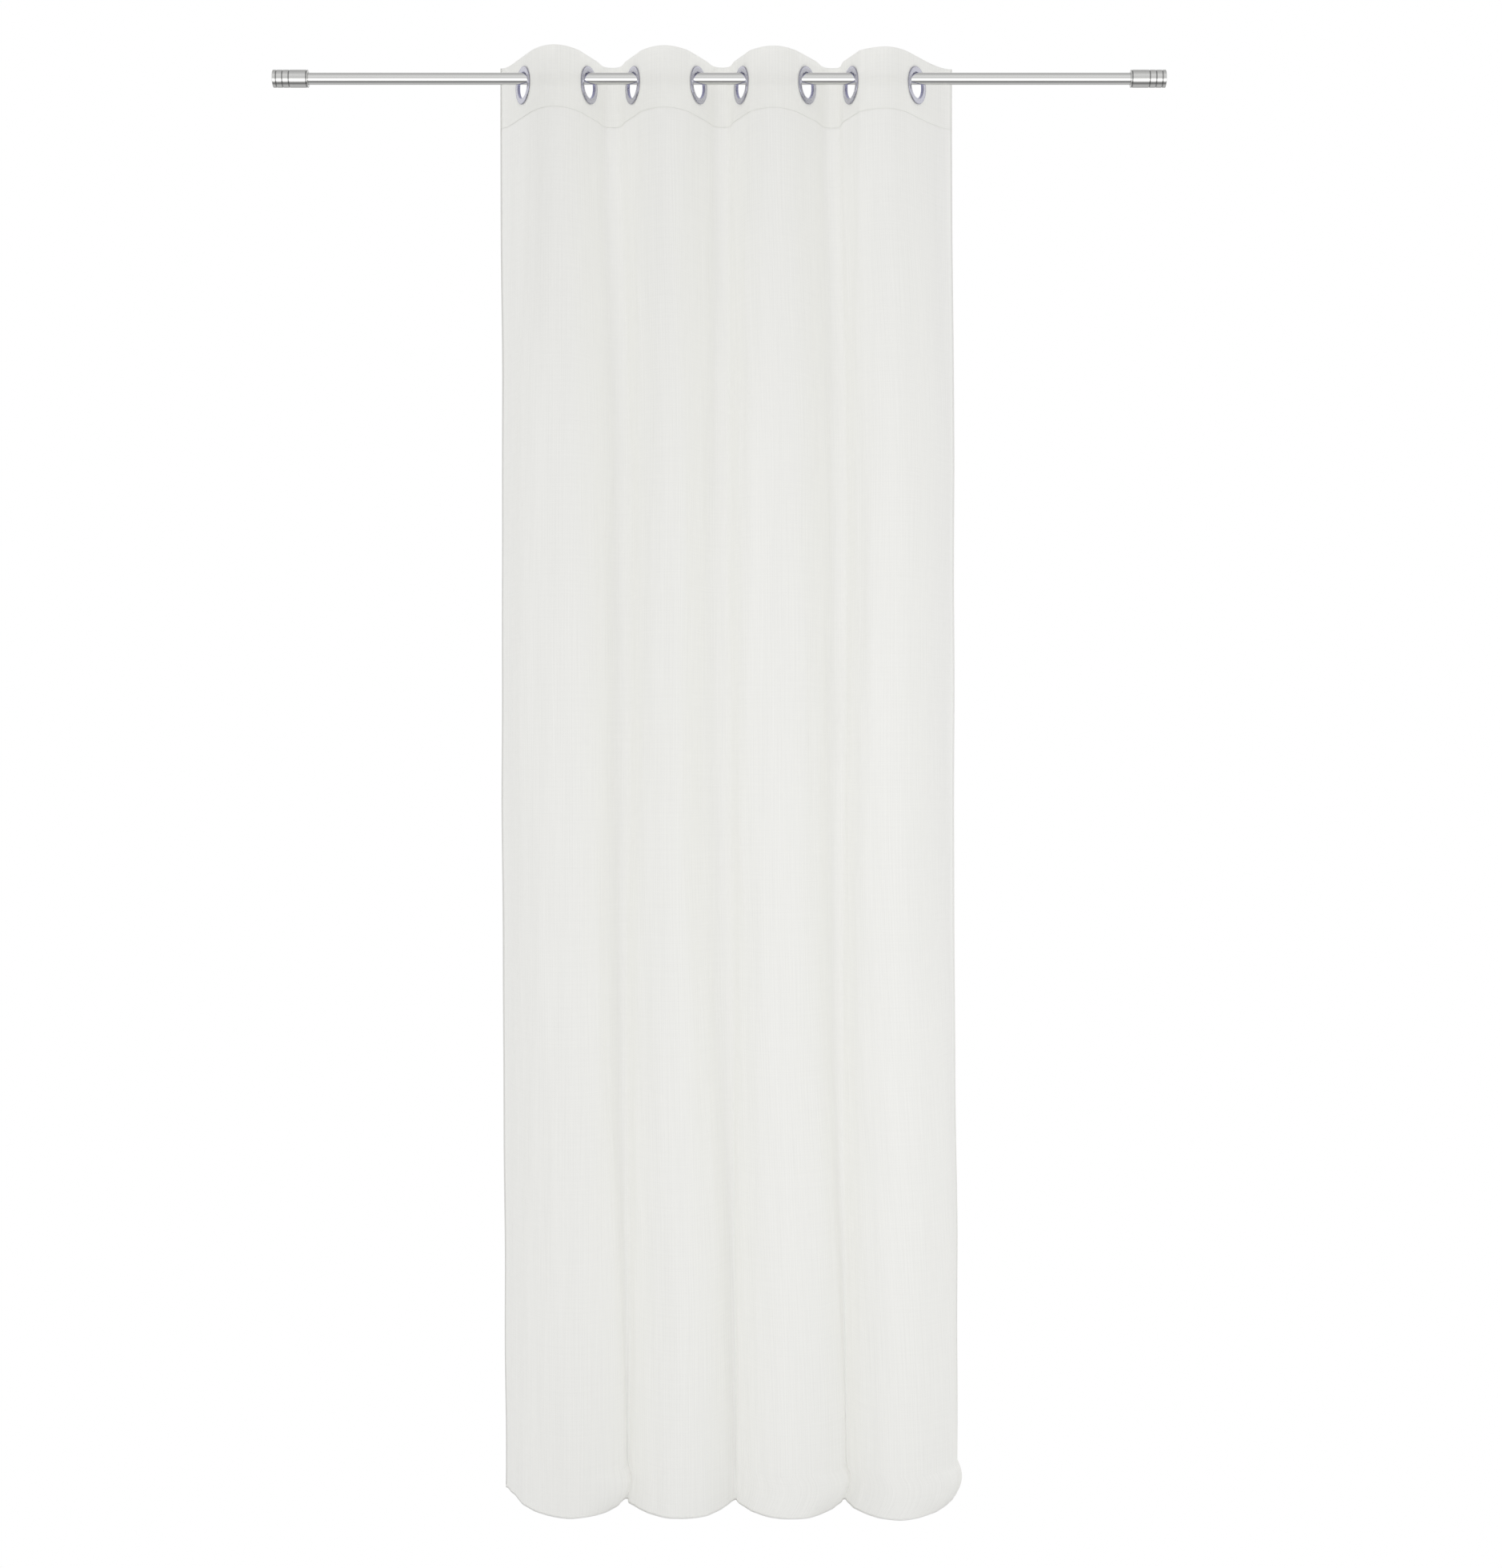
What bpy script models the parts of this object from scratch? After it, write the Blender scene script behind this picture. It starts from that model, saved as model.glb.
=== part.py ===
"""Sheer voile curtain hanging by eight metal eyelets on a steel rod with turned end caps.

X runs along the rod, the room is at -Y and Z is up. The origin is on the rod's axis, half way
along it. Sizes are in metres, and the two tables of folds are in millimetres.
"""

import math
from collections import namedtuple

import bmesh
import bpy
import numpy as np

MM = 0.001
GAP = 0.3 * MM

# Cloth
CLOTH_WIDTH = 1400 * MM
CLOTH_DROP = 2450 * MM
CLOTH_THICKNESS = 1.2 * MM
HEADING_DEPTH = 112 * MM

# Rod and end caps
ROD_RADIUS = 10 * MM
ROD_WALL = 1 * MM
ROD_SHOWN = 1390 * MM
CAP_RADIUS = 15 * MM
CAP_LENGTH = 60 * MM
CAP_EDGE = 1.2 * MM
CAP_SOCKET_DEPTH = 25 * MM
GROOVE_DEPTH = 0.9 * MM
GROOVE_HALF_WIDTH = 1 * MM
GROOVES_FROM_END = (6.5 * MM, 17 * MM, 28 * MM, 57.4 * MM)

# Eyelets
EYELET_HOLE_RADIUS = 21.35 * MM
EYELET_RADIUS = 31.5 * MM
EYELET_HALF_THICKNESS = 2.5 * MM
EYELET_BARREL_RADIUS = 24.7 * MM
EYELET_DROP = 49.5 * MM
EYELET_SEAT_GAP = 0.35 * MM
EYELET_LIP = 0.4 * MM
EYELET_LIP_ROUNDING = 0.9 * MM
EYELET_CROWN_START = 2.2 * MM
EYELET_CROWN_END = 6.7 * MM
EYELET_CROWN_FALL = 0.2 * MM
EYELET_RIM_HEIGHT = 1.4 * MM
HOLE_CUTTER_DEPTH = 15 * MM

# Mesh fineness
ROUND_STEPS = 32
EYELET_STEPS = 28
MERGE_DISTANCE = 0.01 * MM
Segments = namedtuple("Segments", "edge front back")
CLOTH_SEGMENTS = Segments(5, 6, 4)
LENGTH_SEGMENTS = Segments(24, 24, 24)
FLAT_SEGMENTS = 2
BODY_ROWS = 15

# The folds from left to right: the place of each crest at the heading, half way down and at the
# hem, how much the hem lifts there and how far it swings sideways just above the hem.
Crest = namedtuple("Crest", "name x_head x_mid x_hem y_head y_mid y_hem lift swing")
CRESTS = (
    Crest("left_edge", -378, -375, -369, 75, 73, 72, 7.5, 0),
    Crest("front_1", -274.5, -262, -246.5, -67.5, -70, -89, 0, 0),
    Crest("back_1", -185.5, -166, -156, 68, 60, 29, 0, 1.25),
    Crest("front_2", -91.5, -80, -62.5, -62.5, -70, -91, 0, 0),
    Crest("back_2", 4.5, 8, 28.5, 66.5, 58, 24.5, 0, 0),
    Crest("front_3", 91, 102, 116.5, -60.5, -70, -92.5, 0, 0),
    Crest("back_3", 194, 204, 214.5, 70.5, 60, 25.5, 0, 1.25),
    Crest("front_4", 278, 288, 299, -55.5, -70, -97, 0, 0),
    Crest("right_edge", 400, 404, 410, 80, 80, 81, 7.5, 0),
)

# The slopes between the crests: their middles, their turn from the rod in degrees, and how far
# they swing and turn on just above the hem. At the heading each holds an eyelet, so its middle
# is on the rod's axis.
Slope = namedtuple("Slope", "name x_head x_mid x_hem y_hem turn_head turn_mid turn_hem swing curl")
SLOPES = (
    Slope("left_1", -331.4, -342, -335.5, -6, 64, 72, 64.5, 0, 0),
    Slope("right_1", -221.4, -198, -156, 0.5, 68.5, 70, 93, 7, 11),
    Slope("left_2", -145.7, -143, -143.5, -4, 66, 78, 66, 2.5, 0),
    Slope("right_2", -36.2, -33, 13, -11.5, 65.5, 68, 68.5, 0, 0),
    Slope("left_3", 38, 28, 36, -7.5, 68, 78, 67.5, 0, 0),
    Slope("right_3", 147.6, 169, 213, -4.5, 61.5, 69, 87, 7, 11),
    Slope("left_4", 223.2, 224, 223, -3, 69.5, 79, 72.5, 2.5, 0),
    Slope("right_4", 333.2, 358, 403.7, 7.5, 59, 67, 87.5, 5, 11),
)

# Half the length of each slope's straight middle, and the shares of the way between crest and
# slope that the curve takes to turn, at each level.
Level = namedtuple("Level", "slope_y half_flat front_crest back_crest front_slope back_slope")
HEAD_LEVEL = Level(0, 33, 0.37, 0.42, 0.12, 0.40)
MID_LEVEL = Level(2, 16, 0.40, 0.34, 0.38, 0.40)
HEM_LEVEL = Level(0, 5.5, 0.334, 0.16, 0.378, 0.408)
EDGE_CREST_SHARE = 0.5

BODY_FORMED_DROP = 720 * MM
HEM_FORMING_DROP = 1250 * MM
LIFT_START_DROP = 2000 * MM
SWING_START_DROP = 2380 * MM
SWING_PEAK_DROP = 2403 * MM
SWING_BACK = 1.8
SWAY = 3 * MM
SWAY_LENGTH = 1500 * MM
SWAY_STEP = 1.7
BACK_SHIFT_LIMIT = 60 * MM
BACK_SHIFT_HALVINGS = 30

EYELET_Z = ROD_RADIUS + EYELET_SEAT_GAP - EYELET_HOLE_RADIUS
CLOTH_TOP_Z = EYELET_Z + EYELET_DROP


def clear_scene():
    for obj in list(bpy.data.objects):
        bpy.data.objects.remove(obj, do_unlink=True)


def new_collection(name, parent):
    collection = bpy.data.collections.new(name)
    parent.children.link(collection)
    return collection


def make_material(name, color, roughness, metallic):
    material = bpy.data.materials.new(name)
    material.use_nodes = True
    shader = material.node_tree.nodes["Principled BSDF"]
    shader.inputs["Base Color"].default_value = (*color, 1)
    shader.inputs["Roughness"].default_value = roughness
    shader.inputs["Metallic"].default_value = metallic
    return material


def link_object(name, mesh, material, collection):
    obj = bpy.data.objects.new(name, mesh)
    if material and not mesh.materials:
        mesh.materials.append(material)
    collection.objects.link(obj)
    return obj


# ---- The curve of the folds, seen from above ----


def smooth_step(value):
    value = min(1, max(0, value))
    return value * value * (3 - 2 * value)


def level_weights(drop):
    """Shares of the heading's, the body's and the hem's shape at this distance below the top."""
    body = smooth_step((drop - HEADING_DEPTH) / (BODY_FORMED_DROP - HEADING_DEPTH))
    hem = smooth_step((drop - HEM_FORMING_DROP) / (CLOTH_DROP - HEM_FORMING_DROP))
    return (1 - body) * (1 - hem), body * (1 - hem), hem


def mixed(values, weights):
    return sum(value * weight for value, weight in zip(values, weights))


def swing_share(drop):
    """How far the folds' right sides swing out: all the way just above the hem, then back in."""
    if drop < SWING_START_DROP:
        return 0
    if drop < SWING_PEAK_DROP:
        below_peak = (SWING_PEAK_DROP - drop) / (SWING_PEAK_DROP - SWING_START_DROP)
        return 1 - below_peak**2
    return 1 - (1 + SWING_BACK) * ((drop - SWING_PEAK_DROP) / (CLOTH_DROP - SWING_PEAK_DROP)) ** 2


def sway(place, drop):
    """Sideways wander of a fold, none at the heading or the hem, different for each fold."""
    share = min(1, max(0, (drop - HEADING_DEPTH) / (CLOTH_DROP - HEADING_DEPTH)))
    wave = math.sin(2 * math.pi * drop / SWAY_LENGTH + SWAY_STEP * place)
    return SWAY * math.sin(math.pi * share) * wave


def crest_points(drop, back_shift):
    """Crests at this level, the back ones back_shift further from the room than the table says."""
    weights = level_weights(drop)
    points = []
    for place, crest in enumerate(CRESTS):
        x = mixed(crest[1:4], weights) * MM + crest.swing * MM * swing_share(drop)
        y = mixed(crest[4:7], weights) * MM
        if 0 < place < len(SLOPES):
            x += sway(place, drop)
            if place % 2 == 0:
                y += back_shift
        points.append(np.array([x, y]))
    return points


def slope_lines(drop):
    """Middle and direction of each slope at this level."""
    weights = level_weights(drop)
    swung = swing_share(drop)
    lines = []
    for index, slope in enumerate(SLOPES):
        x = mixed(slope[1:4], weights) * MM
        x += sway(index + 0.5, drop) + slope.swing * MM * swung
        y = mixed((HEAD_LEVEL.slope_y, MID_LEVEL.slope_y, slope.y_hem), weights) * MM
        turn = math.radians(mixed(slope[5:8], weights) + slope.curl * swung)
        forwards = -1 if index % 2 == 0 else 1
        direction = np.array([math.cos(turn), forwards * math.sin(turn)])
        lines.append((np.array([x, y]), direction))
    return lines


def bezier(start, start_handle, end_handle, end, segments):
    """Points of a cubic curve, its two ends included."""
    t = np.linspace(0, 1, segments + 1)[:, None]
    back = 1 - t
    return (
        back**3 * start
        + 3 * back**2 * t * start_handle
        + 3 * back * t**2 * end_handle
        + t**3 * end
    )


def segments_at(place, segments):
    """How many segments the curve has on each side of this crest."""
    if place in (0, len(SLOPES)):
        return segments.edge
    return segments.back if place % 2 == 0 else segments.front


def half_fold(place, crest, flat, direction, side, level, segments):
    """The curve from a crest to the straight middle of the slope to its right (1) or left (-1)."""
    crest_share, slope_share = level.back_crest, level.back_slope
    if place % 2 == 1:
        crest_share, slope_share = level.front_crest, level.front_slope
    if place in (0, len(SLOPES)):
        crest_share *= EDGE_CREST_SHARE
    reach = np.linalg.norm(flat - crest)
    crest_handle = crest + np.array([side * reach * crest_share, 0])
    flat_handle = flat - side * direction * reach * slope_share
    return bezier(crest, crest_handle, flat_handle, flat, segments_at(place, segments))


def fold_curve(drop, back_shift, segments):
    """The cloth's line seen from above at this level, from left to right, as rows of x and y."""
    weights = level_weights(drop)
    level = Level(*(mixed(values, weights) for values in zip(HEAD_LEVEL, MID_LEVEL, HEM_LEVEL)))
    crests = crest_points(drop, back_shift)
    curve = [crests[0][None, :]]
    for index, (middle, direction) in enumerate(slope_lines(drop)):
        start = middle - direction * level.half_flat * MM
        end = middle + direction * level.half_flat * MM
        first = half_fold(index, crests[index], start, direction, 1, level, segments)
        second = half_fold(index + 1, crests[index + 1], end, direction, -1, level, segments)
        flat = np.linspace(start, end, FLAT_SEGMENTS + 1)
        curve += [first[1:], flat[1:], second[::-1][1:]]
    return np.concatenate(curve)


def curve_lengths(curve):
    """Distance along the curve at each of its points."""
    return np.concatenate([[0], np.cumsum(np.linalg.norm(np.diff(curve, axis=0), axis=1))])


def back_shift_for(drop):
    """Shift of the back crests that gives the cloth its full width at this level."""
    low, high = -BACK_SHIFT_LIMIT, BACK_SHIFT_LIMIT
    for _ in range(BACK_SHIFT_HALVINGS):
        middle = (low + high) / 2
        if curve_lengths(fold_curve(drop, middle, LENGTH_SEGMENTS))[-1] < CLOTH_WIDTH:
            low = middle
        else:
            high = middle
    return middle


def crest_columns():
    """Which column of the cloth's mesh runs down each crest."""
    columns = [0]
    for index in range(len(SLOPES)):
        sides = segments_at(index, CLOTH_SEGMENTS) + segments_at(index + 1, CLOTH_SEGMENTS)
        columns.append(columns[-1] + sides + FLAT_SEGMENTS)
    return columns


def row_drops():
    """Levels of the cloth's mesh: the two edges of the heading, the body's, then the hem's."""
    body = np.linspace(HEADING_DEPTH, SWING_START_DROP, BODY_ROWS + 1)
    rising = (SWING_START_DROP + SWING_PEAK_DROP) / 2
    falling = (SWING_PEAK_DROP + CLOTH_DROP) / 2
    return [0.0, *body, rising, SWING_PEAK_DROP, falling, CLOTH_DROP]


def cloth_rows(shape):
    """Rows of the cloth's points, each from the left edge to the right one."""
    lifts = [crest.lift * MM for crest in CRESTS]
    columns = crest_columns()
    lift_by_column = np.interp(range(columns[-1] + 1), columns, lifts)
    for drop in row_drops():
        curve = fold_curve(drop, back_shift_for(drop), CLOTH_SEGMENTS)
        rising = smooth_step((drop - LIFT_START_DROP) / (CLOTH_DROP - LIFT_START_DROP))
        heights = CLOTH_TOP_Z - drop + lift_by_column * rising
        yield [shape.verts.new((x, y, z)) for (x, y), z in zip(curve, heights)]


def curtain_panel(material, collection, cutters):
    shape = bmesh.new()
    rows = list(cloth_rows(shape))
    for upper, lower in zip(rows, rows[1:]):
        for column in range(len(upper) - 1):
            corners = (upper[column], lower[column], lower[column + 1], upper[column + 1])
            shape.faces.new(corners)
    mesh = bpy.data.meshes.new("curtain_panel")
    shape.to_mesh(mesh)
    shape.free()
    mesh.shade_smooth()
    panel = link_object("curtain_panel", mesh, material, collection)
    solidify = panel.modifiers.new("cloth_thickness", "SOLIDIFY")
    solidify.thickness = CLOTH_THICKNESS
    solidify.offset = 0
    solidify.use_even_offset = True
    holes = panel.modifiers.new("eyelet_holes", "BOOLEAN")
    holes.operation = "DIFFERENCE"
    holes.operand_type = "COLLECTION"
    holes.collection = cutters
    holes.solver = "EXACT"
    return panel


# ---- Turned pieces ----


def turned(name, profile, closed, steps, material, collection, mesh=None):
    """A profile of (radius, height) points, top to bottom down its outer side, turned about Z."""
    if mesh is None:
        mesh = bpy.data.meshes.new(name)
        edges = [(i, i + 1) for i in range(len(profile) - 1)]
        if closed:
            edges.append((len(profile) - 1, 0))
        mesh.from_pydata([(radius, 0, height) for radius, height in profile], edges, [])
    obj = link_object(name, mesh, material, collection)
    screw = obj.modifiers.new("turn", "SCREW")
    screw.steps = steps
    screw.render_steps = steps
    screw.use_merge_vertices = True
    screw.merge_threshold = MERGE_DISTANCE
    screw.use_smooth_shade = True
    return obj


def eyelet_profile():
    """Two domed flanges on a barrel, with the slot that grips the cloth between them."""
    slot = CLOTH_THICKNESS / 2 + GAP
    upper = [
        (EYELET_HOLE_RADIUS + EYELET_LIP, EYELET_HALF_THICKNESS - EYELET_LIP_ROUNDING),
        (EYELET_HOLE_RADIUS + EYELET_CROWN_START, EYELET_HALF_THICKNESS),
        (EYELET_HOLE_RADIUS + EYELET_CROWN_END, EYELET_HALF_THICKNESS - EYELET_CROWN_FALL),
        (EYELET_RADIUS, EYELET_RIM_HEIGHT),
        (EYELET_RADIUS, slot),
        (EYELET_BARREL_RADIUS, slot),
    ]
    lower = [(radius, -height) for radius, height in reversed(upper)]
    return [(EYELET_HOLE_RADIUS, 0)] + upper + lower


def eyelet_places():
    """Name, place and rotation of each eyelet, its axis square to the cloth it grips."""
    for number, (middle, direction) in enumerate(slope_lines(0), start=1):
        turn = math.atan2(direction[1], direction[0])
        yield f"eyelet_{number}", (middle[0], middle[1], EYELET_Z), (math.pi / 2, 0, turn)


def eyelets(material, collection):
    mesh = None
    for name, place, rotation in eyelet_places():
        eyelet = turned(name, eyelet_profile(), True, EYELET_STEPS, material, collection, mesh)
        eyelet.location = place
        eyelet.rotation_euler = rotation
        mesh = eyelet.data


def eyelet_hole_cutters(collection):
    """Round cutters for the cloth, one barrel and a gap wide, one on each eyelet's axis."""
    shape = bmesh.new()
    radius = EYELET_BARREL_RADIUS + GAP
    bmesh.ops.create_cone(
        shape,
        cap_ends=True,
        segments=EYELET_STEPS,
        radius1=radius,
        radius2=radius,
        depth=HOLE_CUTTER_DEPTH,
    )
    mesh = bpy.data.meshes.new("eyelet_hole")
    shape.to_mesh(mesh)
    shape.free()
    for name, place, rotation in eyelet_places():
        cutter = link_object(f"{name}_hole", mesh, None, collection)
        cutter.location = place
        cutter.rotation_euler = rotation
        cutter.hide_render = True
        cutter.display_type = "WIRE"


def curtain_rod(material, collection):
    half = ROD_SHOWN / 2 + CAP_SOCKET_DEPTH - GAP
    inner = ROD_RADIUS - ROD_WALL
    profile = [(inner, half), (ROD_RADIUS, half), (ROD_RADIUS, -half), (inner, -half)]
    rod = turned("curtain_rod", profile, True, ROUND_STEPS, material, collection)
    rod.rotation_euler = (0, math.pi / 2, 0)


def cap_profile():
    """A solid turned cap with a blind socket, three grooves near its end and one by the socket."""
    points = [
        (0, CAP_LENGTH),
        (CAP_RADIUS - CAP_EDGE, CAP_LENGTH),
        (CAP_RADIUS, CAP_LENGTH - CAP_EDGE),
    ]
    for from_end in GROOVES_FROM_END:
        height = CAP_LENGTH - from_end
        points.append((CAP_RADIUS, height + GROOVE_HALF_WIDTH))
        points.append((CAP_RADIUS - GROOVE_DEPTH, height))
        points.append((CAP_RADIUS, height - GROOVE_HALF_WIDTH))
    socket_radius = ROD_RADIUS + GAP
    points += [
        (CAP_RADIUS, CAP_EDGE),
        (CAP_RADIUS - CAP_EDGE, 0),
        (socket_radius, 0),
        (socket_radius, CAP_SOCKET_DEPTH),
        (0, CAP_SOCKET_DEPTH),
    ]
    return points


def rod_caps(material, collection):
    for name, side in (("rod_cap_left", -1), ("rod_cap_right", 1)):
        cap = turned(name, cap_profile(), False, ROUND_STEPS, material, collection)
        cap.location = (side * ROD_SHOWN / 2, 0, 0)
        cap.rotation_euler = (0, side * math.pi / 2, 0)


def main():
    clear_scene()
    scene_collection = bpy.context.scene.collection
    parts = new_collection("Voile_Curtain", scene_collection)
    cutters = new_collection("Voile_Curtain_cutters", scene_collection)
    voile = make_material("voile", (0.83, 0.83, 0.80), 0.85, 0.0)
    eyelet_metal = make_material("eyelet_metal", (0.62, 0.62, 0.68), 0.30, 1.0)
    rod_steel = make_material("rod_steel", (0.72, 0.72, 0.72), 0.22, 1.0)
    cap_steel = make_material("cap_steel", (0.68, 0.68, 0.67), 0.28, 1.0)
    eyelet_hole_cutters(cutters)
    curtain_panel(voile, parts, cutters)
    eyelets(eyelet_metal, parts)
    curtain_rod(rod_steel, parts)
    rod_caps(cap_steel, parts)


main()
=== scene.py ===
"""Sheer voile eyelet curtain on its steel rod: finishes, fine meshes, light and camera.

X runs along the rod, the room is at -Y and Z is up. Sizes are in metres, and the tables of folds
and creases are in millimetres. On the cloth, u is the distance from its left edge along its width
and drop is the distance below its top edge.
"""

import math
from collections import namedtuple

import bmesh
import bpy
import numpy as np
from mathutils import Euler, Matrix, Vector


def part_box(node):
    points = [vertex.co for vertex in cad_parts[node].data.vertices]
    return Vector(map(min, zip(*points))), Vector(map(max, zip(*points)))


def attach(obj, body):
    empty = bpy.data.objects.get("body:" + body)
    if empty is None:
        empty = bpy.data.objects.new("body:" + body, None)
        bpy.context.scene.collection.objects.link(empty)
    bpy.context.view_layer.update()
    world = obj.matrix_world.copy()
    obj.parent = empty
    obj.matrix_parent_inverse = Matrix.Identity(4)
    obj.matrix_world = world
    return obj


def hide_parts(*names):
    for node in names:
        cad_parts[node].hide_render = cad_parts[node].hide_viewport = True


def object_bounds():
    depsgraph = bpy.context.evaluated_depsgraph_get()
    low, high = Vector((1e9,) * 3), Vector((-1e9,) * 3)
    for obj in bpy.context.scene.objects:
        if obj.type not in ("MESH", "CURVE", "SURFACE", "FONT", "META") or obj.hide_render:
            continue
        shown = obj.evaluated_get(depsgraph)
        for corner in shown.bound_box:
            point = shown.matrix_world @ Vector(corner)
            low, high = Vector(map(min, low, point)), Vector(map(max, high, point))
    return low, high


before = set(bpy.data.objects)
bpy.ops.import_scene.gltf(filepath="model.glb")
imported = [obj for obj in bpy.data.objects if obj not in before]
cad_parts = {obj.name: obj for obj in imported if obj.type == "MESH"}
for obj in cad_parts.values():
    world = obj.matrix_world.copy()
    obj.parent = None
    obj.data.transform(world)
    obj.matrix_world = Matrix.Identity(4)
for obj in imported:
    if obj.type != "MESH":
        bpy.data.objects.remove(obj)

CAD_LOW, CAD_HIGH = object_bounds()

MM = 0.001

# ---- Sizes ----

CLOTH_WIDTH = 1400 * MM
CLOTH_DROP = 2450 * MM
HEADING_DEPTH = 112 * MM
TURNOVER = 105 * MM
LAYER_OFFSET = 0.35 * MM
LAYERS_MEET_OVER = 0.3 * TURNOVER
FOLD_DROP = 0.6 * MM
CREASES_FORM_OVER = 1.2 * HEADING_DEPTH
HEM_HALF_WIDTH = 1.5 * MM
HEM_HALF_HEIGHT = 0.55 * MM
STITCH_PITCH = 2.8 * MM
STITCH_LENGTH = 2.2 * MM
STITCH_HALF_WIDTH = 0.22 * MM
STITCH_START_SHARE = 0.7
STITCH_END_LIFT = 0.2
STITCH_ARCH = 1.1
STITCHES_ABOVE_EDGE = 2 * MM

ROD_LOW, ROD_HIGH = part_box("curtain_rod")
CAP_LOW, CAP_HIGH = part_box("rod_cap_right")
ROD_RADIUS = (ROD_HIGH.z - ROD_LOW.z) / 2
CAP_RADIUS = (CAP_HIGH.z - CAP_LOW.z) / 2
CAP_START = CAP_LOW.x
CAP_LENGTH = CAP_HIGH.x - CAP_LOW.x
ROD_WALL = 1 * MM
ROD_EDGE = 0.25 * MM
CAP_EDGE = 1.2 * MM
CAP_SOCKET_DEPTH = 25 * MM
CAP_SOCKET_GAP = 0.3 * MM
CAP_SOCKET_CHAMFER = 0.4 * MM
GROOVE_DEPTH = 0.9 * MM
GROOVE_HALF_WIDTH = 1 * MM
GROOVE_ROUNDING = 0.8
GROOVES_FROM_END = (6.5 * MM, 17 * MM, 28 * MM, 57.4 * MM)

EYELET_HOLE_RADIUS = 21.35 * MM
EYELET_RADIUS = 31.5 * MM
EYELET_HALF_THICKNESS = 2.5 * MM
EYELET_BARREL_RADIUS = 24.7 * MM
EYELET_BARREL_TAPER = 0.4 * MM
EYELET_SLOT_HALF = 0.8 * MM
EYELET_DROP = 49.5 * MM
EYELET_SEAT_GAP = 0.35 * MM
EYELET_Z = ROD_RADIUS + EYELET_SEAT_GAP - EYELET_HOLE_RADIUS
CLOTH_TOP_Z = EYELET_Z + EYELET_DROP
HOLE_RADIUS = 26 * MM
HOLE_FACE_RADIUS = 28 * MM

# ---- The folds, as the solids have them ----

# The folds' crests from left to right: their places at the heading, in the body and at the hem,
# how far the hem lifts there and how far they swing out just above it.
Crest = namedtuple("Crest", "name x_head x_mid x_hem y_head y_mid y_hem lift swing")
CRESTS = (
    Crest("left_edge", -378, -375, -369, 75, 73, 72, 7.5, 0),
    Crest("front_1", -274.5, -262, -246.5, -67.5, -70, -89, 0, 0),
    Crest("back_1", -185.5, -166, -156, 68, 60, 29, 0, 1.25),
    Crest("front_2", -91.5, -80, -62.5, -62.5, -70, -91, 0, 0),
    Crest("back_2", 4.5, 8, 28.5, 66.5, 58, 24.5, 0, 0),
    Crest("front_3", 91, 102, 116.5, -60.5, -70, -92.5, 0, 0),
    Crest("back_3", 194, 204, 214.5, 70.5, 60, 25.5, 0, 1.25),
    Crest("front_4", 278, 288, 299, -55.5, -70, -97, 0, 0),
    Crest("right_edge", 400, 404, 410, 80, 80, 81, 7.5, 0),
)

# The slopes between the crests: their middles, their turn from the rod in degrees, and how far
# they swing and turn on just above the hem. At the heading each holds an eyelet, so its middle
# is on the rod's axis.
Slope = namedtuple("Slope", "name x_head x_mid x_hem y_hem turn_head turn_mid turn_hem swing curl")
SLOPES = (
    Slope("left_1", -331.4, -342, -335.5, -6, 64, 72, 64.5, 0, 0),
    Slope("right_1", -221.4, -198, -156, 0.5, 68.5, 70, 93, 7, 11),
    Slope("left_2", -145.7, -143, -143.5, -4, 66, 78, 66, 2.5, 0),
    Slope("right_2", -36.2, -33, 13, -11.5, 65.5, 68, 68.5, 0, 0),
    Slope("left_3", 38, 28, 36, -7.5, 68, 78, 67.5, 0, 0),
    Slope("right_3", 147.6, 169, 213, -4.5, 61.5, 69, 87, 7, 11),
    Slope("left_4", 223.2, 224, 223, -3, 69.5, 79, 72.5, 2.5, 0),
    Slope("right_4", 333.2, 358, 403.7, 7.5, 59, 67, 87.5, 5, 11),
)

# At each level: how far the slopes' middles stand back from the rod's axis (at the hem each slope
# has its own), half the length of their straight middle, and the shares of the way between crest
# and slope that the curve takes to turn.
Level = namedtuple("Level", "slope_y half_flat front_crest back_crest front_slope back_slope")
HEAD_LEVEL = Level(0, 33, 0.37, 0.42, 0.12, 0.40)
MID_LEVEL = Level(2, 16, 0.40, 0.34, 0.38, 0.40)
HEM_LEVEL = Level(0, 5.5, 0.334, 0.16, 0.378, 0.408)
EDGE_CREST_SHARE = 0.5

BODY_FORMED_DROP = 720 * MM
HEM_FORMING_DROP = 1250 * MM
LIFT_START_DROP = 2000 * MM
SWING_START_DROP = 2380 * MM
SWING_PEAK_DROP = 2403 * MM
SWING_BACK = 1.8
SWAY = 3 * MM
SWAY_LENGTH = 1500 * MM
SWAY_STEP = 1.7
BACK_SHIFT_LIMIT = 60 * MM
BACK_SHIFT_HALVINGS = 20

# ---- Fineness of the meshes ----

COLUMNS = 344
HEADING_ROW = 4 * MM
BODY_ROW = 11 * MM
HEM_ROW = 5 * MM
ROUGH_SEGMENTS = 24
FINE_SEGMENTS = 96
FLAT_SEGMENTS = 2
# Where the crests lie among the points of a fine curve.
CREST_COLUMNS = [place * (2 * FINE_SEGMENTS + FLAT_SEGMENTS) for place in range(len(CRESTS))]
HEM_SIDES = 8
STITCH_SIDES = 6
STITCH_RINGS = 5
EYELET_STEPS = 96
ROD_STEPS = 128
RIM_POINTS = 9
LIP_POINTS = 7
EDGE_POINTS = 7
GROOVE_POINTS = 9
WELD_DISTANCE = 0.0001 * MM


def smooth_step(value):
    value = np.clip(value, 0, 1)
    return value * value * (3 - 2 * value)


# ---- The curve of the folds, seen from above ----


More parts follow.
